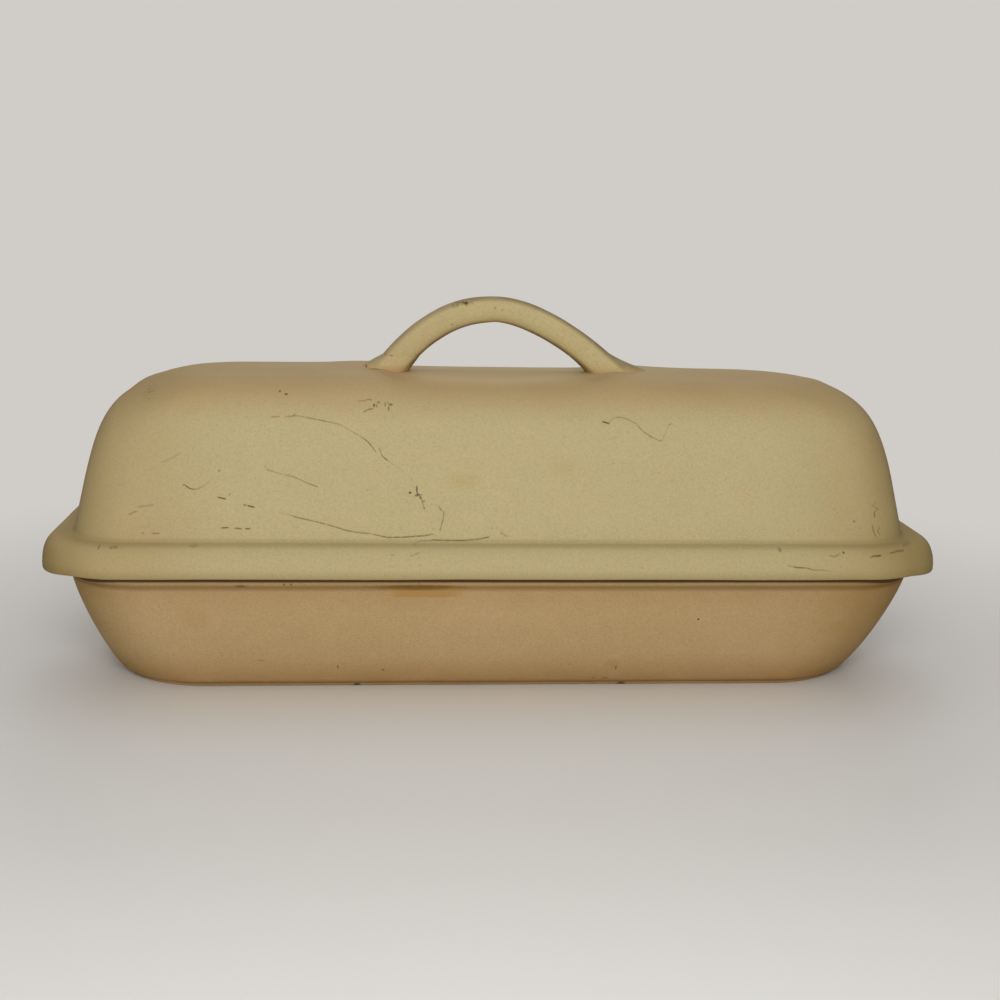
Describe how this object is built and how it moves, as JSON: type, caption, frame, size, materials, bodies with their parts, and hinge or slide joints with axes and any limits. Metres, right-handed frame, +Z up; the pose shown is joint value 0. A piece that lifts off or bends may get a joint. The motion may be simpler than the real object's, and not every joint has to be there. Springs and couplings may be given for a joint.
{
  "type": "clay bread baker",
  "caption": "Long covered baking dish of unglazed clay: a trough dish with a flat foot and a domed cover with an overhanging brim and an arched handle.",
  "frame": {"origin": "centre of the foot of the dish, on the surface that it stands on", "axes": "+Z up, +X along the length to the right as seen from the front, front of the baker towards -Y"},
  "size_m": [0.381, 0.1554, 0.1649],
  "materials": {
    "dish_clay": "matt unglazed stoneware, pinkish tan with fine grog",
    "cover_clay": "matt unglazed stoneware, yellowish buff with fine grog",
    "slip_clay": "matt unglazed slip, smeared by hand"
  },
  "bodies": {
    "dish": {"base_pan": "dish_clay"},
    "cover": {"lid_shell": "cover_clay", "lid_handle": "cover_clay", "handle_slip_left": "slip_clay", "handle_slip_right": "slip_clay"}
  },
  "joints": [
    {"name": "cover_lift", "type": "slide", "parent": "dish", "child": "cover", "axis": [0, 0, 1], "range_m": [0, 0.12]}
  ]
}
